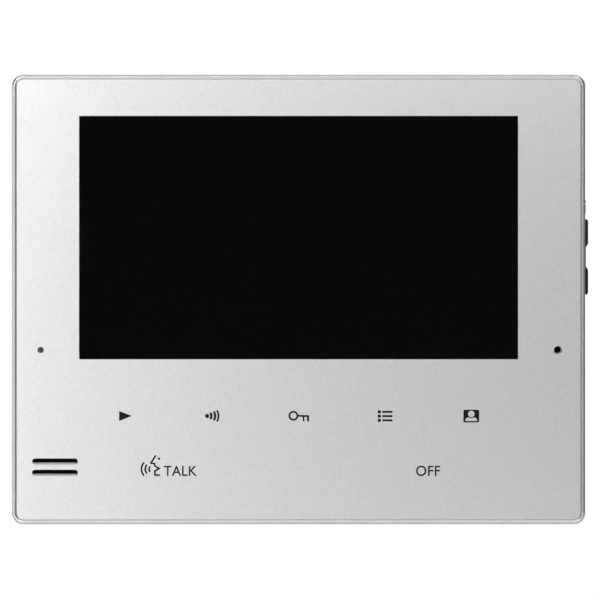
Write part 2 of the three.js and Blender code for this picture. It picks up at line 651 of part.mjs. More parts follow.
const gasketWidth = SCREEN.width + 2 * (GASKET.margin + GASKET.width);
const gasketHeight = SCREEN.height + 2 * (GASKET.margin + GASKET.width);
place("screen_gasket", screenFrame(gasketWidth, gasketHeight, GASKET.width, GASKET.back, GASKET.front),
  FINISHES.foamBlack);
place("lcd_glass",
  roundedSlab(LCD.width - 2, LCD.height - 2, 0.5, 0, SCREEN.z, LCD.glassBack, LCD.glassFront),
  FINISHES.glassDark);
place("lcd_light_guide",
  roundedSlab(LCD.width - 2, LCD.height - 2, 0.5, 0, SCREEN.z, LIGHT_GUIDE.back, LIGHT_GUIDE.front),
  FINISHES.acrylicWhite);
place("lcd_tray", lcdTray(), FINISHES.tinned);
place("lcd_bracket", lcdBracket(), FINISHES.galvanised);
place("lcd_flat_cable", ribbon([[-17.3, -27.6], [-17.4, -30.5], [-15.4, -34], [-13.3, -34.6]], 0.3, -20, 10),
  FINISHES.polyimide);
place("lcd_connector", block(-21, 11, -11.8, -13, -36.6, -33), FINISHES.ledClear);

place("touch_key_board", touchBoard(), FINISHES.solderMask);
place("touch_key_cable", ribbon([[-17.1, -54], [-16, -50.5], [-14.2, -44.5], [-13.3, -41.6]], 0.3, 32, 44),
  FINISHES.polyimide);
place("touch_key_connector", block(31, 45, -11.8, -13, -43.4, -39.8), FINISHES.ledClear);

place("main_board", mainBoard(), FINISHES.solderMask);
place("processor_chip", onBoard(4, 34, 17, 17, 1.3), FINISHES.chipBlack);
place("memory_chip", onBoard(25, 34, 11, 13, 1), FINISHES.chipBlack);
place("shield_can", onBoard(-22, 34, 26, 22, 2.6), FINISHES.tinned);
place("power_inductor", canOnBoard(34, 2, 5, 3.8), FINISHES.ferrite);
place("power_capacitor", canOnBoard(46, -8, 3.2, 4), FINISHES.aluminiumCan);

const terminals = { door: -TERMINAL.width / 2 - GAP, power: TERMINAL.width / 2 + GAP };
for (const [use, x] of Object.entries(terminals)) {
  place(`${use}_terminal`, terminal(x), FINISHES.terminalGrey);
  polePlaces(x).forEach((pole, i) => {
    place(`${use}_release_${i + 1}`, releaseButton(pole), FINISHES.releaseOrange);
  });
}

place("speaker_gasket",
  turned([[10.6, -18.9], [12.6, -18.9], [12.6, -18.1], [10.6, -18.1]], SPEAKER.x, SPEAKER.z),
  FINISHES.foamBlack);
place("speaker_frame", speakerBasket(), FINISHES.tinned);
place("speaker_cone", speakerCone(), FINISHES.paperCone);
place("speaker_magnet", round(7.2, SPEAKER.x, SPEAKER.z, -9.2, -12.7), FINISHES.ferrite);
place("speaker_lead",
  wire([[-74.6, -12.4, -52.6], [-73, -11, -50.5], [-70, -8.9, -47], [-66, -8.4, -42], [-62, -8.9, -38]], 0.7),
  FINISHES.wireSheath);

place("microphone_boot", microphoneBoot(), FINISHES.rubberBlack);
place("microphone_capsule", round(MICROPHONE.capsule / 2, MICROPHONE.x, MICROPHONE.z, -15.2, -17.6),
  FINISHES.aluminiumCan);
place("microphone_lead",
  wire([[91.4, -14.7, -17.9], [90.4, -12.6, -18.6], [86, -9.4, -20.4], [80, -8.5, -22.4], [74, -9, -24]],
    0.6),
  FINISHES.wireSheath);

place("indicator_light_pipe", indicatorPipe(), FINISHES.smokedLens);
place("indicator_led", block(INDICATOR.x - 1.1, INDICATOR.x + 1.1, -15.9, -16.9,
  INDICATOR.z - 1.1, INDICATOR.z + 1.1), FINISHES.ledClear);
place("indicator_board", block(INDICATOR.x - 4.5, INDICATOR.x + 4.5, -14.6, -15.6,
  INDICATOR.z - 6, INDICATOR.z + 6), FINISHES.solderMask);

place("rocker_pin", round(ROCKER_PIVOT.pin, ROCKER_PIVOT.x, ROCKER.z,
  ROCKER_RIBS.back - 0.1, ROCKER_RIBS.front + 0.1, SMALL_SIDES), FINISHES.screwZinc);
place("volume_key_board", block(KEY_BOARD.inner, KEY_BOARD.outer, KEY_BOARD.back, KEY_BOARD.front,
  ROCKER.z - KEY_BOARD.halfHeight, ROCKER.z + KEY_BOARD.halfHeight), FINISHES.solderMask);
place("volume_dome_upper", volumeDome(DOME.offset), FINISHES.siliconeGrey);
place("volume_dome_lower", volumeDome(-DOME.offset), FINISHES.siliconeGrey);
place("volume_rocker", volumeRocker(), FINISHES.keyBlack);

CASING_SCREWS.forEach(([x, z], i) => {
  place(`casing_screw_${i + 1}`, screw(x, z, -2.9, -4.7, -15.5, 2.8, 1.3), FINISHES.screwZinc);
});
lcdScrewPlaces().forEach(([x, z], i) => {
  place(`lcd_screw_${i + 1}`, screw(x, z, -10.3, -11.5, -16, 2.4, 1.1), FINISHES.screwZinc);
});
boardScrewPlaces().forEach(([x, z], i) => {
  place(`board_screw_${i + 1}`, screw(x, z, -8.4, -9.6, -12.5, 2.5, 1.2), FINISHES.screwZinc);
});
speakerEars().forEach(([x, z], i) => {
  place(`speaker_screw_${i + 1}`, screw(x, z, -15.5, -16.5, -18.7, 1.9, 0.8), FINISHES.screwZinc);
});

place("rating_label", roundedSlab(LABEL.width, LABEL.height, 0.6, LABEL.x, LABEL.z, LABEL.back, LABEL.front),
  FINISHES.labelSilver);

export default intercom;
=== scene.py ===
"""Video intercom monitor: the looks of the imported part, and a plain pale studio round it."""
import json
import math

import bmesh
import bpy
from mathutils import Matrix, Vector


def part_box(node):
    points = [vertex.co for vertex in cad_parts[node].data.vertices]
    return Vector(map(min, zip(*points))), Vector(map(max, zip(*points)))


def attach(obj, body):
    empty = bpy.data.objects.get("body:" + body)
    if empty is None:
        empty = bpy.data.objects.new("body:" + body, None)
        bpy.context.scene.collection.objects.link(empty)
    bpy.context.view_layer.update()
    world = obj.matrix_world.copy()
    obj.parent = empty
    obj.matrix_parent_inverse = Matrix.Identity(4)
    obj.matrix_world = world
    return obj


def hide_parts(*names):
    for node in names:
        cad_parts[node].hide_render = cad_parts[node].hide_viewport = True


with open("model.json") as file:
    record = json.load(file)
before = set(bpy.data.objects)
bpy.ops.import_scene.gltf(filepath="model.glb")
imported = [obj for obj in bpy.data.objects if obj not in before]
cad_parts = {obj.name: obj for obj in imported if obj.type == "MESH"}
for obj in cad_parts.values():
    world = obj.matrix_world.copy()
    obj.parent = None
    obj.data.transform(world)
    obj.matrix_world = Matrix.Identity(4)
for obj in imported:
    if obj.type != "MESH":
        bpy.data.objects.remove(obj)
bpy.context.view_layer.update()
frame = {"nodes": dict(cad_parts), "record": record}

MM = 0.001
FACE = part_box("face_panel")[0].y / MM  # the front of the silver sheet, where the legends are printed
SCREEN_Z = 21.8  # centre of the screen window
ICON_Z = -41.05  # centre line of the five key symbols
WORD_Z = -60.4  # centre line of the two key words
KEY_PITCH = 30.5


# ---------------------------------------------------------------- colours and node helpers
def linear(code, alpha=1.0):
    """An sRGB hex colour as linear RGBA."""
    channels = [int(code[i:i + 2], 16) / 255 for i in (1, 3, 5)]
    curved = [c / 12.92 if c <= 0.04045 else ((c + 0.055) / 1.055) ** 2.4 for c in channels]
    return (*curved, alpha)


def add(tree, kind, inputs=None, **settings):
    """Adds a node with its settings, and sets or links its inputs."""
    made = tree.nodes.new(kind)
    for key, value in settings.items():
        setattr(made, key, value)
    for key, value in (inputs or {}).items():
        if isinstance(value, bpy.types.NodeSocket):
            tree.links.new(value, made.inputs[key])
        else:
            made.inputs[key].default_value = value
    return made


def empty_material(name):
    material = bpy.data.materials.new(name)
    material.use_nodes = True
    material.node_tree.nodes.clear()
    return material, material.node_tree


def per_mm(size):
    """The scale of a pattern whose features are size millimetres across."""
    return 1 / (size * MM)


def ranged(tree, value, low, high, start=0.3, end=0.7):
    """A pattern's value, which runs from about start to end, spread from low to high."""
    return add(tree, "ShaderNodeMapRange", {
        "Value": value, "From Min": start, "From Max": end, "To Min": low, "To Max": high
        }).outputs["Result"]


def tinted(tree, colour, amount):
    """The colour, made darker or lighter by the amount."""
    return add(tree, "ShaderNodeVectorMath", {0: linear(colour)[:3], "Scale": amount},
               operation="SCALE").outputs["Vector"]


def surface(name, colour, spread=0.06, roughness=0.5, roughness_spread=0.08, grain=0.5, depth=0.02,
            metallic=0.0, ior=1.5, patch=12.0, **sockets):
    """A moulded, cast or rolled surface: a fine grain in its relief, and its colour varied a little
    from place to place. grain and patch are in millimetres, and depth is the relief's height."""
    material, tree = empty_material(name)
    place = add(tree, "ShaderNodeTexCoord").outputs["Object"]
    fine = add(tree, "ShaderNodeTexNoise", {"Vector": place, "Scale": per_mm(grain), "Detail": 3.0})
    broad = add(tree, "ShaderNodeTexNoise", {"Vector": place, "Scale": per_mm(patch), "Detail": 2.0})
    both = add(tree, "ShaderNodeMix", {"Factor": 0.5, "A": fine.outputs["Fac"], "B": broad.outputs["Fac"]})
    tint = ranged(tree, both.outputs["Result"], 1 - spread, 1 + spread)
    rough = ranged(tree, fine.outputs["Fac"], roughness - roughness_spread, roughness + roughness_spread)
    relief = add(tree, "ShaderNodeBump", {
        "Height": fine.outputs["Fac"], "Distance": depth * MM, "Strength": 1.0})
    shader = add(tree, "ShaderNodeBsdfPrincipled", {
        "Base Color": tinted(tree, colour, tint), "Roughness": rough, "Metallic": metallic, "IOR": ior,
        "Normal": relief.outputs["Normal"], **sockets})
    add(tree, "ShaderNodeOutputMaterial", {"Surface": shader.outputs["BSDF"]})
    return material


# ---------------------------------------------------------------- materials
SILVER = "#d3d3d5"


def silver_lacquer():
    """Metallic lacquer sprayed on an acrylic sheet: aluminium flakes under a satin clear coat, so a
    pale silver with a fine sparkle and broad soft highlights. Flakes are about 0.05 mm, drawn at
    0.45 mm so that they show."""
    material, tree = empty_material("silver_lacquer_sprayed")
    place = add(tree, "ShaderNodeTexCoord").outputs["Object"]
    flakes = add(tree, "ShaderNodeTexVoronoi", {"Vector": place, "Scale": per_mm(0.45)})
    cloud = add(tree, "ShaderNodeTexNoise", {"Vector": place, "Scale": per_mm(0.8), "Detail": 2.0})
    sparkle = add(tree, "ShaderNodeMix", {
        "Factor": 0.5, "A": flakes.outputs["Color"], "B": cloud.outputs["Color"]}, data_type="RGBA")
    grey = add(tree, "ShaderNodeRGBToBW", {"Color": sparkle.outputs[2]})
    tint = ranged(tree, grey.outputs["Val"], 0.95, 1.05)
    relief = add(tree, "ShaderNodeBump", {
        "Height": grey.outputs["Val"], "Distance": 0.012 * MM, "Strength": 1.0})
    shader = add(tree, "ShaderNodeBsdfPrincipled", {
        "Base Color": tinted(tree, SILVER, tint), "Metallic": 0.85, "Roughness": 0.4,
        "Normal": relief.outputs["Normal"], "Coat Weight": 0.08, "Coat Roughness": 0.3})
    add(tree, "ShaderNodeOutputMaterial", {"Surface": shader.outputs["BSDF"]})
    return material


def galvanised_sheet():
    """Hot-dip galvanised steel, blanked and folded: zinc crystals 3 to 6 mm across, each a slightly
    different grey and gloss."""
    material, tree = empty_material("galvanised_steel_blanked")
    place = add(tree, "ShaderNodeTexCoord").outputs["Object"]
    warp = add(tree, "ShaderNodeTexNoise", {"Vector": place, "Scale": per_mm(3.0), "Detail": 3.0})
    bent = add(tree, "ShaderNodeVectorMath", {
        0: warp.outputs["Color"], 1: (0.0008, 0.0008, 0.0008), 2: place}, operation="MULTIPLY_ADD")
    crystals = add(tree, "ShaderNodeTexVoronoi", {"Vector": bent.outputs["Vector"], "Scale": per_mm(4.5)})
    grey = add(tree, "ShaderNodeRGBToBW", {"Color": crystals.outputs["Color"]})
    tint = ranged(tree, grey.outputs["Val"], 0.88, 1.06, 0, 1)
    rough = ranged(tree, grey.outputs["Val"], 0.32, 0.5, 0, 1)
    relief = add(tree, "ShaderNodeBump", {
        "Height": warp.outputs["Fac"], "Distance": 0.03 * MM, "Strength": 0.6})
    shader = add(tree, "ShaderNodeBsdfPrincipled", {
        "Base Color": tinted(tree, "#b9bdbf", tint), "Metallic": 1.0, "Roughness": rough,
        "Normal": relief.outputs["Normal"]})
    add(tree, "ShaderNodeOutputMaterial", {"Surface": shader.outputs["BSDF"]})
    return material


def make_materials():
    """One material for each of the record's slots, and the legend ink."""
    return {
        "silver_panel": silver_lacquer(),
        # The same lacquer on the moulded frame, a little glossier because there is no film on it.
        "silver_paint": surface("silver_lacquer_moulded", SILVER, 0.03, 0.34, 0.04, 0.5, 0.004, 0.95),
        # Black-tinted acrylic, cast and polished: deep black with a clear gloss.
        "screen_black": surface("tinted_acrylic_polished", "#040405", 0.2, 0.06, 0.02, 2.0, 0.0005,
                                ior=1.49),
        # ABS, moulded in a spark-eroded tool: black with a fine matt texture.
        "casing_black": surface("abs_spark_textured", "#1c1d1f", 0.1, 0.55, 0.1, 0.35, 0.03, ior=1.54),
        # ABS, moulded in a polished tool: black with a soft gloss.
        "key_black": surface("abs_semi_gloss", "#141416", 0.1, 0.24, 0.05, 1.0, 0.003, ior=1.54),
        "galvanised_steel": galvanised_sheet(),
        # Polyamide, moulded: mid grey and slightly waxy.
        "terminal": surface("polyamide_moulded", "#8b9095", 0.06, 0.42, 0.08, 0.4, 0.01, ior=1.53),
        # Polyamide, moulded in orange.
        "release_orange": surface("polyamide_orange", "#d9691e", 0.05, 0.4, 0.08, 0.4, 0.01, ior=1.53),
        # Polyester film with a satin silver print.
        "label": surface("polyester_film_satin", "#c3c5c7", 0.03, 0.38, 0.05, 0.6, 0.002, 0.25),
        # Steel, cold-headed and zinc plated: a bluish bright grey.
        "screw_steel": surface("steel_zinc_plated", "#aeb2b8", 0.08, 0.3, 0.08, 0.3, 0.006, 1.0),
        # Polyurethane foam: dull, with cells that show as pits.
        "foam": surface("polyurethane_foam", "#101012", 0.25, 0.95, 0.04, 0.3, 0.12,
                        **{"Specular IOR Level": 0.2}),
        # Glass, polished, with dark filters behind it.
        "lcd_glass": surface("display_glass_polished", "#0c0d11", 0.1, 0.05, 0.01, 4.0, 0.0003,
                             ior=1.52),
        # Acrylic sheet, cast, with a pattern of dots that scatters the light.
        "light_guide": surface("acrylic_light_guide", "#eef1f2", 0.04, 0.22, 0.05, 1.2, 0.02,
                               ior=1.49),
        # Steel with rolled tin plate: smooth and bright.
        "tinned_steel": surface("steel_tin_plated", "#c2c5c8", 0.05, 0.28, 0.06, 0.8, 0.004, 1.0),
        # Polyimide film over copper: clear amber-brown.
        "flat_cable": surface("polyimide_film", "#a5671c", 0.08, 0.3, 0.05, 0.8, 0.003, ior=1.6),
        # Nylon, moulded, in its natural ivory.
        "connector": surface("nylon_natural", "#e3dccb", 0.04, 0.45, 0.08, 0.4, 0.01, ior=1.53),
        # Glass-fibre board under green solder mask: the weave shows faintly.
        "circuit_board": surface("fibreglass_solder_mask", "#12532f", 0.16, 0.3, 0.08, 0.9, 0.01,
                                 ior=1.55),
        # Epoxy, transfer moulded: very dark grey and matt.
        "chip": surface("epoxy_moulded", "#18181a", 0.12, 0.6, 0.08, 0.3, 0.02),
        # Ferrite, pressed and sintered: dark grey with a fine pitted skin.
        "ferrite": surface("ferrite_sintered", "#2d2e32", 0.15, 0.65, 0.1, 0.3, 0.03),
        # Aluminium, drawn: bright with faint marks.
        "aluminium_can": surface("aluminium_drawn", "#c8cacd", 0.05, 0.28, 0.06, 0.5, 0.004, 1.0),
        # Paper pulp, pressed: felted and dark.
        "speaker_cone": surface("paper_pulp_pressed", "#171615", 0.25, 0.9, 0.05, 0.4, 0.06,
                                **{"Specular IOR Level": 0.2}),
        # PVC, extruded: black with a soft gloss.
        "wire": surface("pvc_extruded", "#232427", 0.1, 0.45, 0.06, 0.8, 0.004, ior=1.53),
        # Rubber, moulded: dull black.
        "rubber": surface("rubber_moulded", "#09090a", 0.15, 0.8, 0.08, 0.4, 0.02, ior=1.52,
                          **{"Specular IOR Level": 0.06}),
        # Polycarbonate, smoke tinted and moulded clear.
        "indicator_lens": surface("polycarbonate_smoked", "#232427", 0.05, 0.18, 0.03, 1.0, 0.001,
                                  ior=1.58),
        # Epoxy resin, cast clear over a chip.
        "led": surface("epoxy_cast_clear", "#e8e4d2", 0.04, 0.15, 0.04, 0.6, 0.002, ior=1.55),
        # Silicone, moulded: soft grey and dull.
        "silicone": surface("silicone_moulded", "#8e9195", 0.06, 0.6, 0.08, 0.5, 0.006, ior=1.43),
        # Screen-printing ink: near black, with a soft gloss.
        "legend_ink": surface("screen_print_ink", "#08080a", 0.12, 0.22, 0.04, 0.6, 0.001),
    }


# ---------------------------------------------------------------- mesh helpers
def evaluated_mesh(piece):
    """The piece's mesh with its modifiers in it."""
    graph = bpy.context.evaluated_depsgraph_get()
    return bpy.data.meshes.new_from_object(piece.evaluated_get(graph), depsgraph=graph)


def show(name, mesh):
    piece = bpy.data.objects.new(name, mesh)
    bpy.context.scene.collection.objects.link(piece)
    return piece


def set_down(piece):
    """Puts the piece's modifiers into its mesh."""
    mesh = evaluated_mesh(piece)
    piece.modifiers.clear()
    piece.data = mesh


def rounded_outline(width, height, radius, x=0.0, z=0.0, steps=12):
    """Points round a rectangle with arcs in its corners, anticlockwise, in millimetres."""
    points = []
    for quarter, (side, rise) in enumerate(((1, 1), (-1, 1), (-1, -1), (1, -1))):
        centre = (x + side * (width / 2 - radius), z + rise * (height / 2 - radius))
        for step in range(steps + 1):
            angle = (quarter + step / steps) * math.pi / 2
            points.append((centre[0] + radius * math.cos(angle), centre[1] + radius * math.sin(angle)))
    return points


def slot_outline(length, height, x, z, steps=12):
    """Points round a slot with round ends. The arcs stop just short of meeting in one point."""
    return rounded_outline(length, height, height / 2 - 0.01, x, z, steps)


def circle(radius, x, z, steps=48):
    turn = [2 * math.pi * i / steps for i in range(steps)]
    return [(x + radius * math.cos(a), z + radius * math.sin(a)) for a in turn]


def loft(name, outlines, closed=False):
    """A solid through outlines of the same number of points, each given as (y, points). It has an end
    at its first and last outline, or, if closed, it comes back from the last to the first."""
    mesh = bmesh.new()
    rings = [[mesh.verts.new((x * MM, y * MM, z * MM)) for x, z in points] for y, points in outlines]
    for low, high in zip(rings, rings[1:] + rings[:1] if closed else rings[1:]):
        for i in range(len(low)):
            j = (i + 1) % len(low)
            mesh.faces.new((low[i], low[j], high[j], high[i]))
    if not closed:
        mesh.faces.new(rings[0])
        mesh.faces.new(rings[-1])
    bmesh.ops.remove_doubles(mesh, verts=mesh.verts, dist=1e-8)
    bmesh.ops.recalc_face_normals(mesh, faces=mesh.faces)
    data = bpy.data.meshes.new(name)
    mesh.to_mesh(data)
    mesh.free()
    return show(name, data)


def combine(piece, operation, others):
    """Cuts the others out of the piece or joins them to it, and removes them."""
    for other in others:
        modifier = piece.modifiers.new("combined", "BOOLEAN")
        modifier.object = other
        modifier.operation = operation
        modifier.solver = "EXACT"
    set_down(piece)
    for other in others:
        bpy.data.objects.remove(other)


def smooth(piece):
    """Smooths the piece's rounded edges and keeps its flats flat."""
    piece.data.shade_smooth()
    piece.data.set_sharp_from_angle(angle=math.radians(50))
    piece.modifiers.new("normals", "WEIGHTED_NORMAL").keep_sharp = True
    set_down(piece)


def round_edges(mesh, width, segments=2, chosen=None, angle=30):
    """Rounds the sharp edges of a bmesh by width millimetres: all, or those chosen by their ends."""
    edges = []
    for edge in mesh.edges:
        if len(edge.link_faces) == 2 and edge.calc_face_angle(0) > math.radians(angle):
            if chosen is None or chosen(*[v.co / MM for v in edge.verts]):
                edges.append(edge)
    bmesh.ops.bevel(mesh, geom=edges, offset=width * MM, offset_type="OFFSET", segments=segments,
                    profile=0.5, affect="EDGES", clamp_overlap=True, miter_outer="ARC")


def ease_edges(piece, width, segments=2):
    """Rounds all the piece's sharp edges and smooths it."""
    mesh = bmesh.new()
    mesh.from_mesh(piece.data)
    bmesh.ops.remove_doubles(mesh, verts=mesh.verts, dist=1e-7)
    bmesh.ops.dissolve_limit(mesh, angle_limit=math.radians(0.5), verts=mesh.verts, edges=mesh.edges)
    round_edges(mesh, width, segments)
    mesh.to_mesh(piece.data)
    mesh.free()
    smooth(piece)


def refined(name, node, width, segments=2, first=()):
    """A copy of a CAD node with its flats merged and its edges rounded. first lists the edges that
    get a roundness of their own before that, each as (width, segments, chosen)."""
    mesh = bmesh.new()
    mesh.from_mesh(frame["nodes"][node].data)
    bmesh.ops.remove_doubles(mesh, verts=mesh.verts, dist=2e-6)
    bmesh.ops.dissolve_limit(mesh, angle_limit=math.radians(0.5), verts=mesh.verts, edges=mesh.edges)
    for own_width, own_segments, chosen in first:
        round_edges(mesh, own_width, own_segments, chosen)
    round_edges(mesh, width, segments)
    data = bpy.data.meshes.new(name)
    mesh.to_mesh(data)
    mesh.free()
    piece = show(name, data)
    smooth(piece)
    return piece


def finish_piece(piece, body, slot, *nodes, material=None):
    """Gives the piece its material, from its slot unless one is given, and its body, and hides the CAD
    nodes that it stands for.
    """
    piece.data.materials.clear()
    piece.data.materials.append(material or MATERIALS[slot])
    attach(piece, body)
    if nodes:
        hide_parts(*nodes)


# ---------------------------------------------------------------- the front
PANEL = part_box("face_panel")
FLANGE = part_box("display_window")
FLANGE_WIDTH = 3.0  # how far the window's hidden flange reaches past its face
WINDOW_GAP = 0.15
PANEL_RADIUS = 2.35
BODY_RADIUS = 4.0
FRAME_WALL = -20.8  # the front of the frame's wall, behind the sheet
FRAME_SPLIT = -15.5  # where the frame's side meets the rear casing
FRAME_SKIRT = 1.0  # thickness of the frame's side wall
FRAME_LEDGE = 0.3  # how far the rim reaches into the frame's wall
FRAME_EASE = 0.06
AHEAD = (220, 180)  # width and height of a cutter that takes all of the body's front
RIM_WIDTH = 1.5
RIM_CHAMFER = 0.6  # width and depth of its outer chamfer
RIM_SLOPE = (0.58, 0.38)  # width and depth of the slope inside it
PANEL_OVERSIZE = 0.02  # how much nearer the rim the real sheet is than its solid
SLOTS = {"length": 16.1, "height": 2.2, "x": -85.85, "heights": (-57.12, -61.1), "ramp": 0.8}
SLOT_TAPER = 0.1  # how much shorter a slot is at its back
MICROPHONE = {"x": 91.4, "z": -17.9, "outer": 1.48, "inner": 1.12, "lean": 0.26}
FELT_SHADE = {"radius": 1.9, "thickness": 0.25}
INDICATOR = {"x": -90.9, "z": -17.8, "hole": 1.1, "lens": 0.93}
INDICATOR_FLANGE = {"radius": 2.0, "front": -18.9, "back": -18.1}


def window_size():
    """Width and height of the screen window's visible face, in millimetres."""
    return [(FLANGE[1][i] - FLANGE[0][i]) / MM - 2 * FLANGE_WIDTH for i in (0, 2)]


def face_panel():
    """The silver sheet: speaker slots with a ramp at their foot, a microphone hole that leans the
    same way, and the screen opening."""
    front, back = PANEL[0].y / MM, PANEL[1].y / MM
    width, height = [(PANEL[1][i] - PANEL[0][i]) / MM + 2 * PANEL_OVERSIZE for i in (0, 2)]
    outline = rounded_outline(width, height, PANEL_RADIUS + PANEL_OVERSIZE)
    sheet = loft("face_panel_sheet", [(front, outline), (back, outline)])
    past = 0.5  # how far a cutter stands out of the sheet

    def through(name, face_outline, back_outline):
        return loft(name, [(front - past, face_outline), (front, face_outline), (back, back_outline),
                           (back + past, back_outline)])

    wide, high = [size + 2 * WINDOW_GAP for size in window_size()]
    opening = rounded_outline(wide, high, 0.25, 0, SCREEN_Z, 4)
    cutters = [through("screen_cutter", opening, opening)]
    for z in SLOTS["heights"]:
        tall = SLOTS["height"]
        low = tall - SLOTS["ramp"]
        mouth = slot_outline(SLOTS["length"], tall, SLOTS["x"], z)
        throat = slot_outline(SLOTS["length"] - SLOT_TAPER, low, SLOTS["x"], z + SLOTS["ramp"] / 2)
        cutters.append(through("slot_cutter", mouth, throat))
    x, z, lean = MICROPHONE["x"], MICROPHONE["z"], MICROPHONE["lean"]
    cutters.append(through("microphone_cutter", circle(MICROPHONE["outer"], x, z),
                           circle(MICROPHONE["inner"], x - lean, z + lean)))
    ring = circle(INDICATOR["hole"], INDICATOR["x"], INDICATOR["z"], 32)
    cutters.append(through("indicator_cutter", ring, ring))
    combine(sheet, "DIFFERENCE", cutters)
    ease_edges(sheet, 0.06, 2)
    finish_piece(sheet, "monitor", "silver_panel", "face_panel")


def screen_window():
    """The black acrylic window, flush with the sheet, with the flange that holds it from behind."""
    front, back = FLANGE[0].y / MM, FLANGE[1].y / MM
    step = -20.6  # the front of the flange
    wide, high = window_size()
    face = rounded_outline(wide, high, 0.2, 0, SCREEN_Z, 4)
    flange = rounded_outline(wide + 2 * FLANGE_WIDTH, high + 2 * FLANGE_WIDTH, 0.2, 0, SCREEN_Z, 4)
    pane = loft("screen_window_pane", [(front, face), (step, face), (step, flange), (back, flange)])
    ease_edges(pane, 0.06, 2)
    finish_piece(pane, "monitor", "screen_black", "display_window")


def on_outline():
    """Chooses the edges that lie on the body's rounded outline."""
    half_width, half_height = [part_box("front_frame")[1][i] / MM for i in (0, 2)]
    near = 0.06

    def close(point):
        x = abs(point.x) - (half_width - BODY_RADIUS)
        z = abs(point.z) - (half_height - BODY_RADIUS)
        away = math.hypot(x, z) if x > 0 and z > 0 else max(x, z)
        return abs(away - BODY_RADIUS) < near

    return lambda a, b: close(a) and close(b)


def front_frame():
    """The moulded frame. Its wall and rim are one band round the body: chamfered outside, with a
    narrow flat crest, and sloping inside down to the sheet."""
    low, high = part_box("front_frame")
    crest, foot = low.y / MM, FRAME_SPLIT
    moulding = refined("front_frame_moulding", "front_frame", FRAME_EASE, 1)
    ahead = rounded_outline(*AHEAD, BODY_RADIUS)
    cutter = loft("rim_cutter", [(crest - 1, ahead), (FRAME_WALL + 0.01, ahead)])
    combine(moulding, "DIFFERENCE", [cutter])
    # The band's section, each point given as (how far in from the outside, y).
    slope, ledge = RIM_WIDTH - RIM_SLOPE[0], FRAME_WALL + FRAME_LEDGE
    outer_chamfer = [(0, crest + RIM_CHAMFER + 0.05), (0.03, crest + RIM_CHAMFER - 0.03),
                     (RIM_CHAMFER - 0.02, crest + 0.02), (RIM_CHAMFER + 0.03, crest)]
    inner_slope = [(slope - 0.03, crest), (slope + 0.02, crest + 0.015),
                   (RIM_WIDTH - 0.02, crest + RIM_SLOPE[1] - 0.01),
                   (RIM_WIDTH, crest + RIM_SLOPE[1] + 0.03)]
    skirt = [(RIM_WIDTH, ledge), (FRAME_SKIRT, ledge), (FRAME_SKIRT, foot), (FRAME_EASE, foot)]
    section = [(0, foot - FRAME_EASE), *outer_chamfer, *inner_slope, *skirt]
    width, height = [2 * high[i] / MM for i in (0, 2)]
    band = loft("rim_band", [
        (y, rounded_outline(width - 2 * inset, height - 2 * inset, BODY_RADIUS - inset))
        for inset, y in section], closed=True)
    combine(moulding, "UNION", [band])
    smooth(moulding)
    finish_piece(moulding, "monitor", "silver_paint", "front_frame")


def microphone_felt_shade():
    """The black felt that keeps dust out of the microphone capsule. Its dark colour also paints the shade
    at the bottom of the microphone hole.
    """
    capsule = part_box("microphone_capsule")[0].y / MM
    outline = circle(FELT_SHADE["radius"], MICROPHONE["x"], MICROPHONE["z"])
    felt = loft("microphone_felt_shade", [(capsule - FELT_SHADE["thickness"], outline), (capsule, outline)])
    ease_edges(felt, 0.05, 1)
    # The dark foam on this disc is partly painted shade: it blackens the bottom of the microphone hole.
    finish_piece(felt, "monitor", "foam")


def indicator_lens():
    """The end of the light pipe: a slightly domed smoked lens on its flanged stem."""
    x, z = INDICATOR["x"], INDICATOR["z"]
    front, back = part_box("indicator_light_pipe")[0].y / MM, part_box("indicator_light_pipe")[1].y / MM
    lens, wide = INDICATOR["lens"], INDICATOR_FLANGE["radius"]
    start, end = INDICATOR_FLANGE["front"], INDICATOR_FLANGE["back"]
    dome = [(front, 0.25), (front + 0.03, 0.6), (front + 0.12, 0.88), (front + 0.2, lens)]
    rings = [*dome, (start, lens), (start, wide), (end, wide), (end, lens), (back, lens)]
    pipe = loft("indicator_lens", [(y, circle(radius, x, z, 32)) for y, radius in rings])
    ease_edges(pipe, 0.02, 1)
    finish_piece(pipe, "monitor", "indicator_lens", "indicator_light_pipe")


# ---------------------------------------------------------------- printed legends
def stroke(points, width):
    """The outline of a line of points drawn with a pen of that width, its corners mitred."""
    sides = [[], []]
    vectors = [Vector(p) for p in points]
    for i, point in enumerate(vectors):
        before = (point - vectors[i - 1]).normalized() if i else None
        after = (vectors[i + 1] - point).normalized() if i + 1 < len(vectors) else None
        if before is None or after is None:
            along = after or before
            across = Vector((-along.y, along.x)) * width / 2
        else:
            middle = (before + after).normalized()
            across = Vector((-middle.y, middle.x))
            across *= width / 2 / max(0.5, across.dot(Vector((-before.y, before.x))))
        sides[0].append(tuple(point + across))
        sides[1].insert(0, tuple(point - across))
    return sides[0] + sides[1]


def arc(x, z, radius, middle, half, steps=16):
    """Points along an arc, from its middle direction by half each way, in degrees."""
    angles = [math.radians(middle - half + 2 * half * i / steps) for i in range(steps + 1)]
    return [(x + radius * math.cos(a), z + radius * math.sin(a)) for a in angles]


def bar(left, right, bottom, top):
    return [(left, bottom), (right, bottom), (right, top), (left, top)]


def print_on_panel(name, loops):
    """A thin print of flat shapes on the sheet. A loop inside another is a hole in it."""
    curve = bpy.data.curves.new(name, "CURVE")
    curve.dimensions = "2D"
    curve.fill_mode = "BOTH"
    for loop in loops:
        spline = curve.splines.new("POLY")
        spline.points.add(len(loop) - 1)
        spline.use_cyclic_u = True
        for point, (x, z) in zip(spline.points, loop):
            point.co = (x, z, 0, 1)
    lay_print(name, curve)


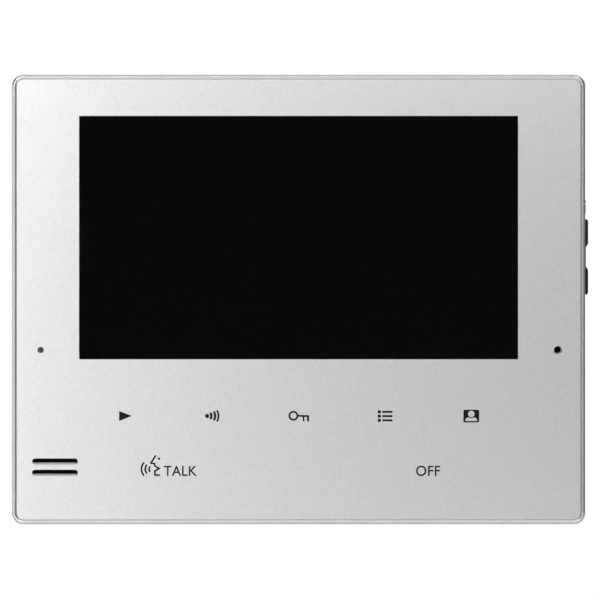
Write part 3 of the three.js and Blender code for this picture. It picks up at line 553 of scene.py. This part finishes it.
def lay_print(name, curve, size=None, middle=None):
    """Makes a flat curve or text solid, fits it to a size if one is given, and lays it on the sheet."""
    ink = 0.03
    curve.extrude = ink / 2
    drawn = bpy.data.objects.new(name, curve)
    bpy.context.scene.collection.objects.link(drawn)
    mesh = evaluated_mesh(drawn)
    bpy.data.objects.remove(drawn)
    if size:
        low = Vector([min(v.co[i] for v in mesh.vertices) for i in range(3)])
        high = Vector([max(v.co[i] for v in mesh.vertices) for i in range(3)])
        span = high - low
        fit = Matrix.Diagonal((size[0] / span.x, size[1] / span.y, 1, 1))
        mesh.transform(Matrix.Translation((*middle, 0)) @ fit @ Matrix.Translation(-(low + high) / 2))
    upright = Matrix.Rotation(math.pi / 2, 4, "X")
    mesh.transform(Matrix.Translation((0, FACE * MM, 0)) @ Matrix.Scale(MM, 4) @ upright)
    merged = bmesh.new()
    merged.from_mesh(mesh)
    bmesh.ops.remove_doubles(merged, verts=merged.verts, dist=1e-7)
    bmesh.ops.recalc_face_normals(merged, faces=merged.faces)
    merged.to_mesh(mesh)
    merged.free()
    finish_piece(show(name, mesh), "monitor", None, material=MATERIALS["legend_ink"])


def print_word(name, word, size, middle):
    text = bpy.data.curves.new(name, "FONT")
    text.body = word
    text.size = 5
    text.space_character = 1.04
    text.offset = 0.05  # thickens the strokes
    lay_print(name, text, size, middle)


def print_play(x):
    left, right, half_height = x - 2.25, x + 2.25, 1.76
    print_on_panel("legend_play", [[
        (left, ICON_Z - half_height), (right, ICON_Z), (left, ICON_Z + half_height)]])


def print_waves(x):
    dot = x - 1.75
    loops = [circle(0.73, dot, ICON_Z, 24)]
    for radius, pen, half in ((1.52, 0.86, 45), (2.82, 0.8, 34), (4.0, 0.66, 30)):
        loops.append(stroke(arc(dot, ICON_Z, radius, 0, half), pen))
    print_on_panel("legend_waves", loops)


def print_key(x):
    """A ring, a shaft and two teeth in one outline."""
    pen, ring = 0.65, 1.41
    bow, middle = x - 2.78, ICON_Z + 0.07
    outer = ring + pen / 2
    gap = math.degrees(math.asin(0.3 / outer))
    low, high, tooth = ICON_Z - 0.33, ICON_Z + 0.27, ICON_Z - 1.9
    left, right, tip = x + 0.53, x + 1.09, x + 2.72
    blade = [(left, low), (left, tooth), (right, tooth), (right, low), (tip - 0.7, low),
             (tip - 0.7, tooth), (tip, tooth), (tip, high)]
    outline = arc(bow, middle, outer, 180, 180 - gap, 36)
    print_on_panel("legend_key", [outline + blade, circle(ring - pen / 2, bow, middle, 32)])


def print_list(x):
    loops = []
    for row in (1, 0, -1):
        z = ICON_Z - 0.05 + row * 1.5
        loops.append(bar(x - 2.6, x - 1.52, z - 0.53, z + 0.53))
        loops.append(bar(x - 1.02, x + 2.57, z - 0.35, z + 0.35))
    print_on_panel("legend_list", loops)


def print_person(x):
    """A head and shoulders left bare in a dark tile."""
    tile = rounded_outline(5.57, 4.5, 0.55, x, ICON_Z - 0.05, 4)
    head = circle(1.15, x + 0.03, ICON_Z + 0.7, 24)
    half = [(2.2, -1.78), (2.04, -1.14), (1.7, -0.74), (1.18, -0.54), (0.6, -0.6)]
    bust = [(x + a, ICON_Z + b) for a, b in half] + [(x, ICON_Z - 0.76)]
    bust += [(x - a, ICON_Z + b) for a, b in half[::-1]]
    print_on_panel("legend_person", [tile, head, bust])


def print_talk(x):
    """Three sound arcs, and a plain head in profile made of straight strokes."""
    pen = 0.6
    middle = WORD_Z + 0.6
    loops = [stroke(arc(x - 6.38 + shift, middle, radius, 180, half), pen)
             for shift, radius, half in ((0, 3.3, 45), (0.34, 2.3, 43), (0.78, 1.4, 44))]
    profile = [(x - 4.6, WORD_Z + 5.5), (x - 6.35, WORD_Z + 2.75), (x - 5.1, WORD_Z + 2.55),
               (x - 4.95, WORD_Z + 1.7), (x - 3.45, WORD_Z + 0.85), (x - 5.0, WORD_Z - 0.1),
               (x - 4.9, WORD_Z - 1.45), (x - 3.1, WORD_Z - 1.5)]
    loops.append(stroke(profile, pen))
    loops.append(circle(0.42, x - 3.5, WORD_Z + 4.3, 20))
    print_on_panel("legend_talk_symbol", loops)


def print_legends():
    print_play(-2 * KEY_PITCH)
    print_waves(-KEY_PITCH)
    print_key(0.95)
    print_list(KEY_PITCH)
    print_person(2 * KEY_PITCH - 0.15)
    print_talk(-45.7)
    print_word("legend_talk", "TALK", (11.7, 3.56), (-41.65, WORD_Z))
    print_word("legend_off", "OFF", (8.5, 3.66), (45.62, WORD_Z))


# ---------------------------------------------------------------- the side and the back
def volume_rocker():
    """The rocker: two raised pads with well-rounded edges and a low bridge between them."""
    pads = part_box("front_frame")[1].x / MM + 0.6  # past this, the key is all pad
    piece = refined("volume_rocker_key", "volume_rocker", 0.12, 2, [
        (0.3, 3, lambda a, b: min(a.x, b.x) > pads)])
    finish_piece(piece, "volume_key", "key_black", "volume_rocker")


def rear_casing():
    """The moulded back: a soft edge all round, and crisp pockets, slots and screw wells."""
    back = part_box("rear_casing")[1].y / MM
    outer = on_outline()
    piece = refined("rear_casing_shell", "rear_casing", 0.14, 2, [
        (1.2, 4, lambda a, b: outer(a, b) and min(a.y, b.y) > back - 0.02)])
    finish_piece(piece, "monitor", "casing_black", "rear_casing")


def wall_bracket():
    """The blanked plate, with the slight roll that blanking leaves on its edges."""
    piece = refined("wall_bracket_plate", "wall_bracket", 0.12)
    finish_piece(piece, "bracket", "galvanised_steel", "wall_bracket")


def terminals():
    for use in ("door", "power"):
        housing = refined(f"{use}_terminal_housing", f"{use}_terminal", 0.12)
        finish_piece(housing, "monitor", "terminal", f"{use}_terminal")
        for i in (1, 2):
            node = f"{use}_release_{i}"
            button = refined(f"{node}_button", node, 0.25)
            finish_piece(button, node, "release_orange", node)


def rating_label():
    """A blank label: a satin film with a few printed ruled lines, the top and bottom ones thicker."""
    low, high = [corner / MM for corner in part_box("rating_label")]
    middle = (low + high) / 2
    width, height = high.x - low.x, high.z - low.z
    film_outline = rounded_outline(width, height, 1.0, middle.x, middle.z, 6)
    film = loft("rating_label_film", [(low.y, film_outline), (high.y, film_outline)])
    ease_edges(film, 0.04, 1)
    finish_piece(film, "monitor", "label", "rating_label")
    margin = 2
    rules = [(height / 2 - 2.2, 0.35), (height / 2 - 7.5, 0.2), (0.5, 0.2), (-height / 2 + 7, 0.2),
             (-height / 2 + 2.2, 0.35)]
    for i, (rise, thick) in enumerate(rules):
        line = slot_outline(width - 2 * margin, thick, middle.x, middle.z + rise, 3)
        rule = loft(f"rating_label_rule_{i + 1}", [(high.y - 0.02, line), (high.y + 0.02, line)])
        finish_piece(rule, "monitor", None, material=MATERIALS["legend_ink"])


# ---------------------------------------------------------------- screws
def screw_tree():
    """Geometry nodes that put a cross-recessed pan-head screw at each point of a mesh."""
    tree = bpy.data.node_groups.new("pan_head_screws", "GeometryNodeTree")
    tree.interface.new_socket("Points", in_out="INPUT", socket_type="NodeSocketGeometry")
    for name in ("Head Radius", "Head Height", "Shank Radius", "Shank Length"):
        tree.interface.new_socket(name, in_out="INPUT", socket_type="NodeSocketFloat")
    tree.interface.new_socket("Material", in_out="INPUT", socket_type="NodeSocketMaterial")
    tree.interface.new_socket("Screws", in_out="OUTPUT", socket_type="NodeSocketGeometry")
    given = add(tree, "NodeGroupInput").outputs

    def times(value, factor):
        return add(tree, "ShaderNodeMath", {0: value, 1: factor}, operation="MULTIPLY").outputs[0]

    def vector(**parts):
        return add(tree, "ShaderNodeCombineXYZ", parts).outputs[0]

    radius, height = given["Head Radius"], given["Head Height"]
    spread = 1.25  # the dome's radius, in head radii
    reach, slit = 1.1, 0.24  # length and width of the recess, in head radii
    disc = add(tree, "GeometryNodeMeshCylinder", {
        "Vertices": 32, "Radius": radius, "Depth": times(height, 2.0)})
    ball = add(tree, "GeometryNodeMeshUVSphere", {"Segments": 32, "Rings": 24, "Radius": 1.0})
    dome = add(tree, "GeometryNodeTransform", {
        "Geometry": ball.outputs["Mesh"],
        "Scale": vector(X=times(radius, spread), Y=times(radius, spread), Z=height)})
    head = add(tree, "GeometryNodeMeshBoolean", {"Mesh 2": disc.outputs["Mesh"]}, operation="INTERSECT")
    tree.links.new(dome.outputs["Geometry"], head.inputs["Mesh 2"])
    base = add(tree, "GeometryNodeMeshCube", {
        "Size": vector(X=times(radius, 4.0), Y=times(radius, 4.0), Z=times(height, 2.0))})
    below = add(tree, "GeometryNodeTransform", {
        "Geometry": base.outputs["Mesh"], "Translation": vector(Z=times(height, -1.0))})
    half = add(tree, "GeometryNodeMeshBoolean", {
        "Mesh 1": head.outputs["Mesh"], "Mesh 2": below.outputs["Geometry"]}, operation="DIFFERENCE")
    recessed = half.outputs["Mesh"]
    for across, along in ((reach, slit), (slit, reach)):
        blade = add(tree, "GeometryNodeMeshCube", {
            "Size": vector(X=times(radius, across), Y=times(radius, along), Z=height)})
        lifted = add(tree, "GeometryNodeTransform", {
            "Geometry": blade.outputs["Mesh"], "Translation": vector(Z=times(height, 0.95))})
        recessed = add(tree, "GeometryNodeMeshBoolean", {
            "Mesh 1": recessed, "Mesh 2": lifted.outputs["Geometry"]},
            operation="DIFFERENCE").outputs["Mesh"]
    shank = add(tree, "GeometryNodeMeshCylinder", {
        "Vertices": 20, "Radius": given["Shank Radius"], "Depth": given["Shank Length"]})
    sunk = add(tree, "ShaderNodeMath", {0: times(given["Shank Length"], -0.5), 1: times(height, 0.3)},
               operation="ADD")
    placed = add(tree, "GeometryNodeTransform", {
        "Geometry": shank.outputs["Mesh"], "Translation": vector(Z=sunk.outputs[0])})
    whole = add(tree, "GeometryNodeMeshBoolean", {"Mesh 2": recessed}, operation="UNION")
    tree.links.new(placed.outputs["Geometry"], whole.inputs["Mesh 2"])
    turn = add(tree, "FunctionNodeRandomValue", {"Max": 1.5, "Seed": 4}, data_type="FLOAT")
    aim = add(tree, "FunctionNodeEulerToRotation", {0: vector(X=-math.pi / 2)})
    roll = add(tree, "FunctionNodeAxisAngleToRotation", {"Angle": turn.outputs[1]})
    both = add(tree, "FunctionNodeRotateRotation", {
        "Rotation": aim.outputs[0], "Rotate By": roll.outputs[0]}, rotation_space="LOCAL")
    copies = add(tree, "GeometryNodeInstanceOnPoints", {
        "Points": given["Points"], "Instance": whole.outputs["Mesh"], "Rotation": both.outputs[0]})
    real = add(tree, "GeometryNodeRealizeInstances", {"Geometry": copies.outputs["Instances"]})
    done = add(tree, "GeometryNodeSetMaterial", {
        "Geometry": real.outputs["Geometry"], "Material": given["Material"]})
    add(tree, "NodeGroupOutput", {"Screws": done.outputs["Geometry"]})
    return tree


def screws(tree, name, nodes, head_height, head_radius, shank_radius):
    """One set of equal screws, standing for their CAD nodes, with their heads to the back."""
    places = []
    for node in nodes:
        low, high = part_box(node)
        places.append(((low.x + high.x) / 2, high.y - head_height * MM, (low.z + high.z) / 2))
    length = (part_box(nodes[0])[1].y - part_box(nodes[0])[0].y) / MM - head_height
    points = bpy.data.meshes.new(name)
    points.from_pydata(places, [], [])
    piece = show(name, points)
    modifier = piece.modifiers.new("screws", "NODES")
    modifier.node_group = tree
    sizes = {"Head Radius": head_radius, "Head Height": head_height, "Shank Radius": shank_radius,
             "Shank Length": length + head_height * 0.3}
    for socket in tree.interface.items_tree:
        if socket.name in sizes:
            modifier[socket.identifier] = sizes[socket.name] * MM
        elif socket.name == "Material":
            modifier[socket.identifier] = MATERIALS["screw_steel"]
    set_down(piece)
    piece.data.shade_smooth()
    piece.data.set_sharp_from_angle(angle=math.radians(35))
    finish_piece(piece, "monitor", "screw_steel", *nodes)


def all_screws():
    tree = screw_tree()
    screws(tree, "casing_screws", [f"casing_screw_{i}" for i in range(1, 5)], 1.8, 2.8, 1.3)
    screws(tree, "lcd_screws", [f"lcd_screw_{i}" for i in range(1, 5)], 1.2, 2.4, 1.1)
    screws(tree, "board_screws", [f"board_screw_{i}" for i in range(1, 5)], 1.2, 2.5, 1.2)
    screws(tree, "speaker_screws", ["speaker_screw_1", "speaker_screw_2"], 1.0, 1.9, 0.8)


# ---------------------------------------------------------------- the CAD nodes that stay
def finish_nodes():
    """Gives every CAD node that still shows the material of its slot."""
    slots = {part["node"]: part["material_slot"] for part in frame["record"]["subparts"]}
    for name, piece in frame["nodes"].items():
        piece.data.materials.clear()
        piece.data.materials.append(MATERIALS[slots[name]])


# ---------------------------------------------------------------- studio
# Each soft light's place in metres, its width and height, and its power.
SOFTBOXES = {
    "left_softbox": ((-0.26, -0.55, 0.05), (0.12, 0.45), 1.15),
    "top_softbox": ((0.05, -0.45, 0.3), (0.5, 0.1), 1.55),
    "low_softbox": ((0.05, -0.45, -0.27), (0.5, 0.05), 0.62),
    "side_softbox": ((-0.8, 0.0, 0.0), (0.3, 0.5), 0.38),
}
ROOM_LEVEL = 0.03  # how bright the room is in front and beside the monitor
BACK_LEVEL = 0.8  # behind it
TOP_LEVEL = 0.7  # and overhead


def studio():
    """A white surround that is dim in front and bright behind and overhead, and soft lights aimed at
    the monitor."""
    world = bpy.data.worlds.new("studio")
    bpy.context.scene.world = world
    world.use_nodes = True
    tree = world.node_tree
    tree.nodes.clear()
    seen = add(tree, "ShaderNodeLightPath").outputs["Is Camera Ray"]
    way = add(tree, "ShaderNodeTexCoord").outputs["Generated"]
    parts = add(tree, "ShaderNodeSeparateXYZ", {"Vector": way})

    def towards(axis, start, end, most):
        return add(tree, "ShaderNodeMapRange", {
            "Value": parts.outputs[axis], "From Min": start, "From Max": end, "To Min": ROOM_LEVEL,
            "To Max": most}, interpolation_type="SMOOTHSTEP").outputs["Result"]

    room = add(tree, "ShaderNodeMath", {
        0: towards("Y", 0.3, 0.8, BACK_LEVEL), 1: towards("Z", 0.5, 0.9, TOP_LEVEL)}, operation="MAXIMUM")
    level = add(tree, "ShaderNodeMix", {"Factor": seen, "A": room.outputs["Value"], "B": 1.0})
    light = add(tree, "ShaderNodeBackground", {
        "Color": (1, 1, 1, 1), "Strength": level.outputs["Result"]})
    add(tree, "ShaderNodeOutputWorld", {"Surface": light.outputs["Background"]})
    for name, (place, size, power) in SOFTBOXES.items():
        lamp = bpy.data.lights.new(name, "AREA")
        lamp.shape = "RECTANGLE"
        lamp.size, lamp.size_y = size
        lamp.energy = power
        holder = bpy.data.objects.new(name, lamp)
        holder.location = place
        holder.rotation_euler = (-Vector(place)).to_track_quat("-Z", "Y").to_euler()
        bpy.context.scene.collection.objects.link(holder)


def floor():
    """A round pale floor below the monitor."""
    reach, level = 12, -0.3
    mesh = bpy.data.meshes.new("floor")
    ring = [(reach * x, reach * z, level) for x, z in circle(1.0, 0, 0, 96)]
    mesh.from_pydata(ring, [], [list(range(len(ring)))])
    piece = show("floor", mesh)
    piece.data.materials.append(surface("floor_paint_matt", "#f1f1f0", 0.01, 0.9, 0.02, 20, 0.0))


def camera():
    """Square on to the face and far back, as for a flat catalogue view. Much farther back, the lens
    would get so narrow that other views with it end before they reach the monitor."""
    distance, across, film = 9.0, 0.21145, 36
    lens = bpy.data.cameras.new("camera")
    lens.sensor_width = film
    lens.lens = film * distance / across
    lens.clip_end = 100
    holder = bpy.data.objects.new("camera", lens)
    holder.location = (0.49 * MM, FACE * MM - distance, -0.18 * MM)
    holder.rotation_euler = (math.pi / 2, 0, 0)
    bpy.context.scene.collection.objects.link(holder)
    bpy.context.scene.camera = holder
    bpy.context.scene.view_settings.view_transform = "Standard"


MATERIALS = make_materials()
camera()
studio()
floor()
finish_nodes()
face_panel()
screen_window()
front_frame()
microphone_felt_shade()
indicator_lens()
print_legends()
volume_rocker()
rear_casing()
wall_bracket()
terminals()
rating_label()
all_screws()
